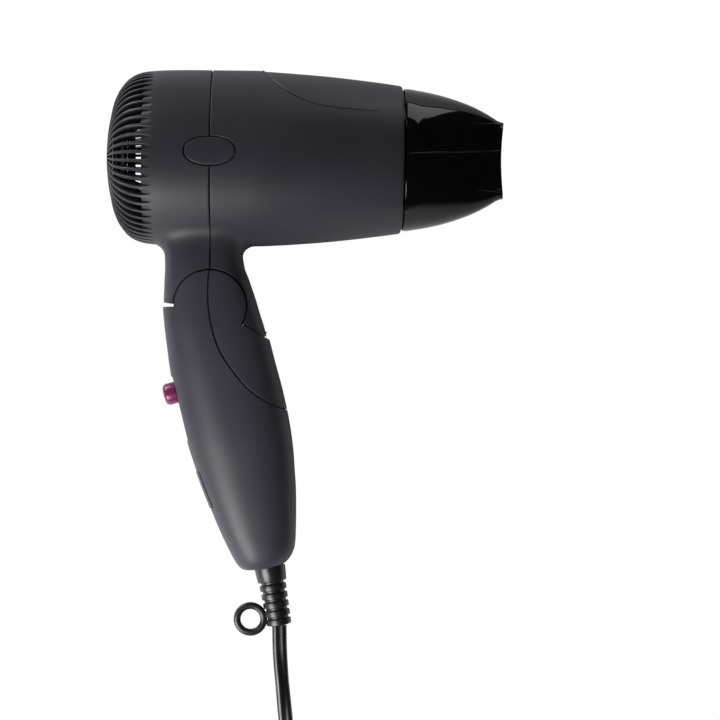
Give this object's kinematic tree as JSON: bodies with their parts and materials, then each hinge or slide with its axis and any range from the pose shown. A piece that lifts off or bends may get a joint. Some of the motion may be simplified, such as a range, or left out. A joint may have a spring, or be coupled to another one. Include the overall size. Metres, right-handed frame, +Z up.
{
  "type": "travel hair dryer",
  "caption": "Folding travel hair dryer with slotted round intake, concentrator nozzle, hinged handle with slide switch, strain relief with hanging ring, flat cord and plug.",
  "frame": {"origin": "middle of the dryer's own footprint, on the surface it lies on", "axes": "+X along the barrel towards the nozzle, +Y from the handle's end to the barrel, +Z up; the dryer lies on its side with its hinge axis 8 degrees from +Z"},
  "size_m": [0.165, 0.3878, 0.0735],
  "materials": {
    "soft_touch_charcoal": "soft-touch matte, purple-grey charcoal",
    "gloss_black": "polished black",
    "magenta_pearl": "pearlescent magenta, semi-gloss",
    "black_rubber": "flexible black, slightly shiny",
    "black_nylon": "moulded, matte",
    "steel": "plain",
    "brass": "nickel-free brass, bright",
    "mica": "mica sheet, dull",
    "heater_wire": "resistance wire",
    "magnet": "ferrite",
    "copper": "copper windings",
    "circuit_board": "glass-epoxy board",
    "capacitor_yellow": "moulded film capacitor case"
  },
  "bodies": {
    "barrel": {"front_shell": "soft_touch_charcoal", "rear_shell": "soft_touch_charcoal", "side_cap_left": "soft_touch_charcoal", "side_cap_right": "soft_touch_charcoal", "neck_screw": "steel", "intake_filter": "black_nylon", "fan_duct": "black_nylon", "motor_can": "steel", "motor_magnet_upper": "magnet", "motor_magnet_lower": "magnet", "motor_end_cap": "black_nylon", "rectifier_board": "circuit_board", "mica_board_upright": "mica", "mica_board_flat": "mica", "heating_element": "heater_wire", "heater_sleeve": "mica", "thermostat": "steel", "thermal_fuse": "steel", "outlet_grille": "black_nylon", "barrel_leads": "black_rubber"},
    "fan": {"impeller": "black_nylon", "motor_rotor": "copper", "motor_shaft": "steel"},
    "nozzle": {"concentrator_nozzle": "gloss_black"},
    "handle": {"handle_rear_shell": "soft_touch_charcoal", "handle_front_cover": "soft_touch_charcoal", "hinge_pin_left": "steel", "hinge_pin_right": "steel", "switch_body": "black_nylon", "capacitor": "capacitor_yellow", "cord_clamp": "black_nylon", "clamp_screw_left": "steel", "clamp_screw_right": "steel", "mains_leads": "black_rubber", "switch_leads": "black_rubber", "strain_relief": "black_rubber", "hanging_ring": "black_rubber", "mains_cord": "black_rubber", "plug_cord": "black_rubber", "cord_coil": "black_rubber", "cord_tie": "black_nylon", "plug_body": "black_rubber", "plug_pin_left": "brass", "plug_pin_right": "brass"},
    "switch": {"switch_knob": "magenta_pearl", "switch_slider": "black_nylon"}
  },
  "joints": [
    {"name": "handle_fold", "type": "hinge", "parent": "barrel", "child": "handle", "pos_m": [-0.03825, 0.01897, 0.02807], "axis": [0, -0.1392, 0.9903], "range_deg": [0, 81]},
    {"name": "switch_slide", "type": "slide", "parent": "handle", "child": "switch", "axis": [0.2622, -0.9556, -0.1343], "range_m": [0, 0.008]},
    {"name": "fan_spin", "type": "hinge", "parent": "barrel", "child": "fan", "pos_m": [-0.03825, 0.08086, 0.03677], "axis": [1, 0, 0], "continuous": true},
    {"name": "nozzle_turn", "type": "hinge", "parent": "barrel", "child": "nozzle", "pos_m": [0.04175, 0.08086, 0.03677], "axis": [1, 0, 0], "continuous": true}
  ]
}
